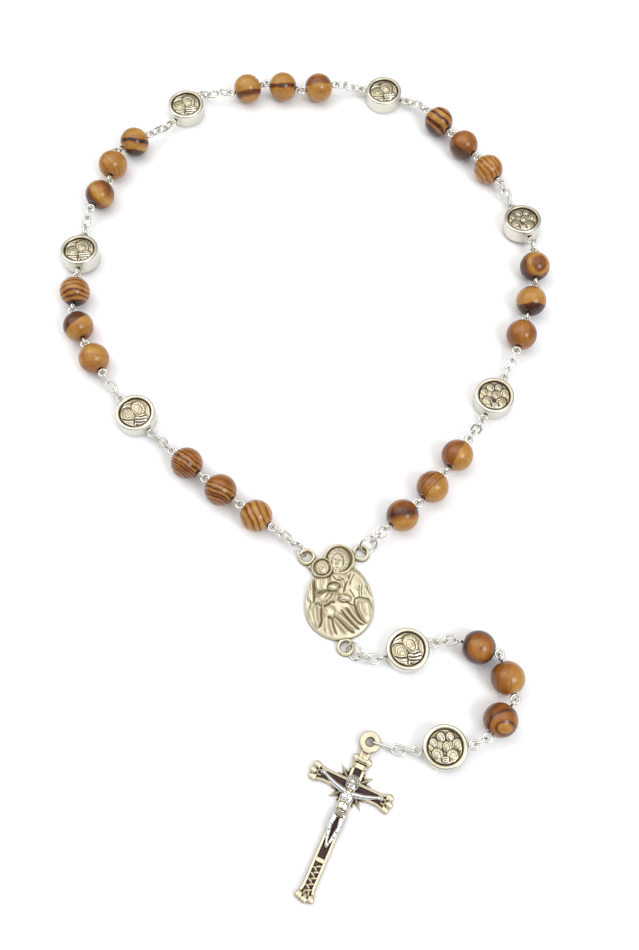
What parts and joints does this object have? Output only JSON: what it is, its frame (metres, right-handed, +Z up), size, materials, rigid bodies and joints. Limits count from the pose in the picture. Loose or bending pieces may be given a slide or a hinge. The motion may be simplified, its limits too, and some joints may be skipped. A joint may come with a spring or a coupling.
{
  "type": "rosary",
  "caption": "Rosary of turned wooden beads in groups on eye pins and oval chain links, with thick round picture medals, an egg-shaped centrepiece and a tail ending in a crucifix",
  "frame": {"origin": "Middle of the centrepiece's flat back, on the plane Z = 0 that the whole rosary lies on.", "axes": "+Y from the centrepiece towards the far end of the loop, the tail and crucifix towards -Y; +X to the right seen from the front; +Z up out of the face."},
  "size_m": [0.1332, 0.2263, 0.008],
  "materials": {
    "bead_wood": "clear gloss lacquer over streaked olive wood",
    "wire_silver": "bright drawn wire, silver plated",
    "medal_silver": "antique silver, dark in the hollows, bright smooth rim",
    "centre_silver": "antique silver with a warm tone, dark in the hollows",
    "cross_silver": "antique silver borders, blackened sunk panels",
    "corpus_silver": "bright polished cast silver"
  },
  "bodies": {
    "centre": {"centerpiece": "centre_silver", "jump_rings": "wire_silver"},
    "pin_01": {"pin_01": "wire_silver"},
    "bead_01": {"bead_01": "bead_wood"},
    "pin_02": {"pin_02": "wire_silver"},
    "bead_02": {"bead_02": "bead_wood"},
    "pin_03": {"pin_03": "wire_silver"},
    "bead_03": {"bead_03": "bead_wood"},
    "pin_04": {"pin_04": "wire_silver"},
    "bead_04": {"bead_04": "bead_wood"},
    "pin_05": {"pin_05": "wire_silver"},
    "bead_05": {"bead_05": "bead_wood"},
    "pin_06": {"pin_06": "wire_silver"},
    "bead_06": {"bead_06": "bead_wood"},
    "pin_07": {"pin_07": "wire_silver"},
    "bead_07": {"bead_07": "bead_wood"},
    "pin_08": {"pin_08": "wire_silver"},
    "bead_08": {"bead_08": "bead_wood"},
    "pin_09": {"pin_09": "wire_silver"},
    "bead_09": {"bead_09": "bead_wood"},
    "pin_10": {"pin_10": "wire_silver"},
    "bead_10": {"bead_10": "bead_wood"},
    "pin_11": {"pin_11": "wire_silver"},
    "bead_11": {"bead_11": "bead_wood"},
    "pin_12": {"pin_12": "wire_silver"},
    "bead_12": {"bead_12": "bead_wood"},
    "pin_13": {"pin_13": "wire_silver"},
    "bead_13": {"bead_13": "bead_wood"},
    "pin_14": {"pin_14": "wire_silver"},
    "bead_14": {"bead_14": "bead_wood"},
    "pin_15": {"pin_15": "wire_silver"},
    "bead_15": {"bead_15": "bead_wood"},
    "pin_16": {"pin_16": "wire_silver"},
    "bead_16": {"bead_16": "bead_wood"},
    "pin_17": {"pin_17": "wire_silver"},
    "bead_17": {"bead_17": "bead_wood"},
    "pin_18": {"pin_18": "wire_silver"},
    "bead_18": {"bead_18": "bead_wood"},
    "pin_19": {"pin_19": "wire_silver"},
    "bead_19": {"bead_19": "bead_wood"},
    "pin_20": {"pin_20": "wire_silver"},
    "bead_20": {"bead_20": "bead_wood"},
    "pin_21": {"pin_21": "wire_silver"},
    "bead_21": {"bead_21": "bead_wood"},
    "pin_22": {"pin_22": "wire_silver"},
    "bead_22": {"bead_22": "bead_wood"},
    "pin_23": {"pin_23": "wire_silver"},
    "bead_23": {"bead_23": "bead_wood"},
    "pin_24": {"pin_24": "wire_silver"},
    "bead_24": {"bead_24": "bead_wood"},
    "medal_01": {"medal_01": "medal_silver"},
    "medal_02": {"medal_02": "medal_silver"},
    "medal_03": {"medal_03": "medal_silver"},
    "medal_04": {"medal_04": "medal_silver"},
    "medal_05": {"medal_05": "medal_silver"},
    "medal_06": {"medal_06": "medal_silver"},
    "medal_07": {"medal_07": "medal_silver"},
    "medal_08": {"medal_08": "medal_silver"},
    "crucifix": {"crucifix_cross": "cross_silver", "crucifix_corpus": "corpus_silver"}
  },
  "joints": [
    {"name": "pin_01_swing", "type": "hinge", "parent": "centre", "child": "pin_01", "pos_m": [-0.01107, 0.01377, 0.00277], "axis": [-0.1863, -0.6762, 0.7127], "range_deg": [0, 27]},
    {"name": "pin_02_swing", "type": "hinge", "parent": "pin_01", "child": "pin_02", "pos_m": [-0.02463, 0.02388, 0.004], "axis": [0, 0, 1], "range_deg": [0, 30]},
    {"name": "pin_03_swing", "type": "hinge", "parent": "pin_02", "child": "pin_03", "pos_m": [-0.03353, 0.03084, 0.004], "axis": [0, 0, 1], "range_deg": [0, 30]},
    {"name": "medal_01_lift", "type": "hinge", "parent": "pin_03", "child": "medal_01", "pos_m": [-0.04377, 0.03986, 0.00357], "axis": [-0.7133, -0.7009, 0], "range_deg": [-45, 45]},
    {"name": "pin_04_lift", "type": "hinge", "parent": "medal_01", "child": "pin_04", "pos_m": [-0.05797, 0.05558, 0.00263], "axis": [0.809, 0.5878, 0], "range_deg": [-45, 45]},
    {"name": "pin_05_swing", "type": "hinge", "parent": "pin_04", "child": "pin_05", "pos_m": [-0.06635, 0.06855, 0.004], "axis": [0, 0, 1], "range_deg": [0, 30]},
    {"name": "pin_06_swing", "type": "hinge", "parent": "pin_05", "child": "pin_06", "pos_m": [-0.07069, 0.07877, 0.00431], "axis": [0.0009, 0.0523, 0.9986], "range_deg": [0, 30]},
    {"name": "medal_02_swing", "type": "hinge", "parent": "pin_06", "child": "medal_02", "pos_m": [-0.07049, 0.09006, 0.00371], "axis": [0.0021, 0.1219, 0.9925], "range_deg": [0, 30]},
    {"name": "pin_07_lift", "type": "hinge", "parent": "medal_02", "child": "pin_07", "pos_m": [-0.07007, 0.10647, 0.0024], "axis": [-0.9763, 0.2164, 0], "range_deg": [-45, 45]},
    {"name": "pin_08_swing", "type": "hinge", "parent": "pin_07", "child": "pin_08", "pos_m": [-0.06418, 0.12062, 0.004], "axis": [0, 0, 1], "range_deg": [0, 30]},
    {"name": "pin_09_swing", "type": "hinge", "parent": "pin_08", "child": "pin_09", "pos_m": [-0.06286, 0.13134, 0.004], "axis": [0, 0, 1], "range_deg": [0, 30]},
    {"name": "medal_03_lift", "type": "hinge", "parent": "pin_09", "child": "medal_03", "pos_m": [-0.05148, 0.13886, 0.00357], "axis": [0.6756, -0.7373, 0], "range_deg": [-45, 45]},
    {"name": "pin_10_swing", "type": "hinge", "parent": "centre", "child": "pin_10", "pos_m": [0.00838, 0.01498, 0.00277], "axis": [0.6437, -0.2786, -0.7127], "range_deg": [-25, 4.5]},
    {"name": "pin_11_swing", "type": "hinge", "parent": "pin_10", "child": "pin_11", "pos_m": [0.01936, 0.02388, 0.004], "axis": [0, 0, -1], "range_deg": [0, 30]},
    {"name": "pin_12_swing", "type": "hinge", "parent": "pin_11", "child": "pin_12", "pos_m": [0.02645, 0.03203, 0.004], "axis": [0, 0, -1], "range_deg": [0, 30]},
    {"name": "medal_04_lift", "type": "hinge", "parent": "pin_12", "child": "medal_04", "pos_m": [0.03433, 0.04318, 0.00357], "axis": [-0.829, 0.5592, 0], "range_deg": [-45, 45]},
    {"name": "pin_13_lift", "type": "hinge", "parent": "medal_04", "child": "pin_13", "pos_m": [0.04451, 0.06174, 0.00263], "axis": [0.891, -0.454, 0], "range_deg": [-45, 45]},
    {"name": "pin_14_swing", "type": "hinge", "parent": "pin_13", "child": "pin_14", "pos_m": [0.05013, 0.0761, 0.004], "axis": [0, 0, -1], "range_deg": [0, 30]},
    {"name": "pin_15_swing", "type": "hinge", "parent": "pin_14", "child": "pin_15", "pos_m": [0.05338, 0.08671, 0.00431], "axis": [-0.0027, -0.0523, -0.9986], "range_deg": [0, 30]},
    {"name": "medal_05_swing", "type": "hinge", "parent": "pin_15", "child": "medal_05", "pos_m": [0.05397, 0.09798, 0.00368], "axis": [-0.0012, 0.0112, -0.9999], "range_deg": [0, 30]},
    {"name": "pin_16_lift", "type": "hinge", "parent": "medal_05", "child": "pin_16", "pos_m": [0.04847, 0.1159, 0.00239], "axis": [-0.9026, -0.4305, 0], "range_deg": [-45, 45]},
    {"name": "pin_17_swing", "type": "hinge", "parent": "pin_16", "child": "pin_17", "pos_m": [0.04036, 0.12896, 0.004], "axis": [0, 0, -1], "range_deg": [0, 30]},
    {"name": "pin_18_swing", "type": "hinge", "parent": "pin_17", "child": "pin_18", "pos_m": [0.03342, 0.13723, 0.004], "axis": [0, 0, -1], "range_deg": [0, 30]},
    {"name": "medal_06_lift", "type": "hinge", "parent": "pin_18", "child": "medal_06", "pos_m": [0.02493, 0.14792, 0.00357], "axis": [0.6225, 0.7826, 0], "range_deg": [-45, 45]},
    {"name": "pin_19_lift", "type": "hinge", "parent": "medal_06", "child": "pin_19", "pos_m": [0.00543, 0.15578, 0.00263], "axis": [-0.0349, -0.9994, 0], "range_deg": [-45, 45]},
    {"name": "pin_20_swing", "type": "hinge", "parent": "pin_19", "child": "pin_20", "pos_m": [-0.00974, 0.15327, 0.004], "axis": [0, 0, -1], "range_deg": [0, 30]},
    {"name": "pin_21_swing", "type": "hinge", "parent": "pin_20", "child": "pin_21", "pos_m": [-0.02022, 0.15589, 0.004], "axis": [0, 0, -1], "range_deg": [0, 30]},
    {"name": "medal_07_swing", "type": "hinge", "parent": "centre", "child": "medal_07", "pos_m": [0.00478, -0.01348, 0.00277], "axis": [0.1267, 0.6899, 0.7127], "range_deg": [-20, 4.5]},
    {"name": "pin_22_lift", "type": "hinge", "parent": "medal_07", "child": "pin_22", "pos_m": [0.0246, -0.00998, 0.00284], "axis": [-0.0465, -0.9989, 0], "range_deg": [-45, 45]},
    {"name": "pin_23_swing", "type": "hinge", "parent": "pin_22", "child": "pin_23", "pos_m": [0.03704, -0.01342, 0.004], "axis": [0, 0, 1], "range_deg": [-15, 40]},
    {"name": "pin_24_swing", "type": "hinge", "parent": "pin_23", "child": "pin_24", "pos_m": [0.04029, -0.02404, 0.00431], "axis": [-0.0329, -0.0407, 0.9986], "range_deg": [-15, 40]},
    {"name": "medal_08_swing", "type": "hinge", "parent": "pin_24", "child": "medal_08", "pos_m": [0.03318, -0.03281, 0.00368], "axis": [0.0101, 0.0049, 0.9999], "range_deg": [-15, 40]},
    {"name": "crucifix_swing", "type": "hinge", "parent": "medal_08", "child": "crucifix", "pos_m": [0.00712, -0.03337, 0.0015], "axis": [-0.04, 0.012, 0.9991], "range_deg": [-70, 40]},
    {"name": "bead_01_spin", "type": "hinge", "parent": "pin_01", "child": "bead_01", "pos_m": [-0.02034, 0.02076, 0.004], "axis": [-0.809, 0.5878, 0], "continuous": true},
    {"name": "bead_02_spin", "type": "hinge", "parent": "pin_02", "child": "bead_02", "pos_m": [-0.02935, 0.02757, 0.004], "axis": [-0.788, 0.6157, 0], "continuous": true},
    {"name": "bead_03_spin", "type": "hinge", "parent": "pin_03", "child": "bead_03", "pos_m": [-0.03806, 0.03477, 0.004], "axis": [-0.7547, 0.6561, 0], "continuous": true},
    {"name": "bead_04_spin", "type": "hinge", "parent": "pin_04", "child": "bead_04", "pos_m": [-0.06381, 0.06448, 0.004], "axis": [-0.5299, 0.848, 0], "continuous": true},
    {"name": "bead_05_spin", "type": "hinge", "parent": "pin_05", "child": "bead_05", "pos_m": [-0.0687, 0.07407, 0.004], "axis": [-0.3907, 0.9205, 0], "continuous": true},
    {"name": "bead_06_spin", "type": "hinge", "parent": "pin_06", "child": "bead_06", "pos_m": [-0.07059, 0.08476, 0.004], "axis": [0.0174, 0.9985, -0.0523], "continuous": true},
    {"name": "bead_07_spin", "type": "hinge", "parent": "pin_07", "child": "bead_07", "pos_m": [-0.06628, 0.11631, 0.004], "axis": [0.4384, 0.8988, 0], "continuous": true},
    {"name": "bead_08_spin", "type": "hinge", "parent": "pin_08", "child": "bead_08", "pos_m": [-0.06345, 0.12658, 0.004], "axis": [0.1219, 0.9925, 0], "continuous": true},
    {"name": "bead_09_spin", "type": "hinge", "parent": "pin_09", "child": "bead_09", "pos_m": [-0.05783, 0.13461, 0.004], "axis": [0.8387, 0.5446, 0], "continuous": true},
    {"name": "bead_10_spin", "type": "hinge", "parent": "pin_10", "child": "bead_10", "pos_m": [0.01563, 0.02086, 0.004], "axis": [0.7771, 0.6293, 0], "continuous": true},
    {"name": "bead_11_spin", "type": "hinge", "parent": "pin_11", "child": "bead_11", "pos_m": [0.0233, 0.02841, 0.004], "axis": [0.6561, 0.7547, 0], "continuous": true},
    {"name": "bead_12_spin", "type": "hinge", "parent": "pin_12", "child": "bead_12", "pos_m": [0.02989, 0.03695, 0.004], "axis": [0.5736, 0.8192, 0], "continuous": true},
    {"name": "bead_13_spin", "type": "hinge", "parent": "pin_13", "child": "bead_13", "pos_m": [0.04857, 0.07156, 0.004], "axis": [0.3256, 0.9455, 0], "continuous": true},
    {"name": "bead_14_spin", "type": "hinge", "parent": "pin_14", "child": "bead_14", "pos_m": [0.05189, 0.08184, 0.004], "axis": [0.2924, 0.9563, 0], "continuous": true},
    {"name": "bead_15_spin", "type": "hinge", "parent": "pin_15", "child": "bead_15", "pos_m": [0.05369, 0.0927, 0.004], "axis": [0.0523, 0.9973, -0.0523], "continuous": true},
    {"name": "bead_16_spin", "type": "hinge", "parent": "pin_16", "child": "bead_16", "pos_m": [0.04305, 0.12498, 0.004], "axis": [-0.5592, 0.829, 0], "continuous": true},
    {"name": "bead_17_spin", "type": "hinge", "parent": "pin_17", "child": "bead_17", "pos_m": [0.03651, 0.13356, 0.004], "axis": [-0.6428, 0.766, 0], "continuous": true},
    {"name": "bead_18_spin", "type": "hinge", "parent": "pin_18", "child": "bead_18", "pos_m": [0.02973, 0.14196, 0.004], "axis": [-0.6157, 0.788, 0], "continuous": true},
    {"name": "bead_19_spin", "type": "hinge", "parent": "pin_19", "child": "bead_19", "pos_m": [-0.00506, 0.15435, 0.004], "axis": [-0.9744, -0.225, 0], "continuous": true},
    {"name": "bead_20_spin", "type": "hinge", "parent": "pin_20", "child": "bead_20", "pos_m": [-0.01556, 0.15473, 0.004], "axis": [-0.9703, 0.2419, 0], "continuous": true},
    {"name": "bead_21_spin", "type": "hinge", "parent": "pin_21", "child": "bead_21", "pos_m": [-0.02592, 0.15403, 0.004], "axis": [-0.9511, -0.309, 0], "continuous": true},
    {"name": "bead_22_spin", "type": "hinge", "parent": "pin_22", "child": "bead_22", "pos_m": [0.03248, -0.01194, 0.004], "axis": [0.9511, -0.309, 0], "continuous": true},
    {"name": "bead_23_spin", "type": "hinge", "parent": "pin_23", "child": "bead_23", "pos_m": [0.03879, -0.01916, 0.004], "axis": [0.2924, -0.9563, 0], "continuous": true},
    {"name": "bead_24_spin", "type": "hinge", "parent": "pin_24", "child": "bead_24", "pos_m": [0.03652, -0.02869, 0.004], "axis": [-0.6285, -0.7761, -0.0523], "continuous": true}
  ]
}
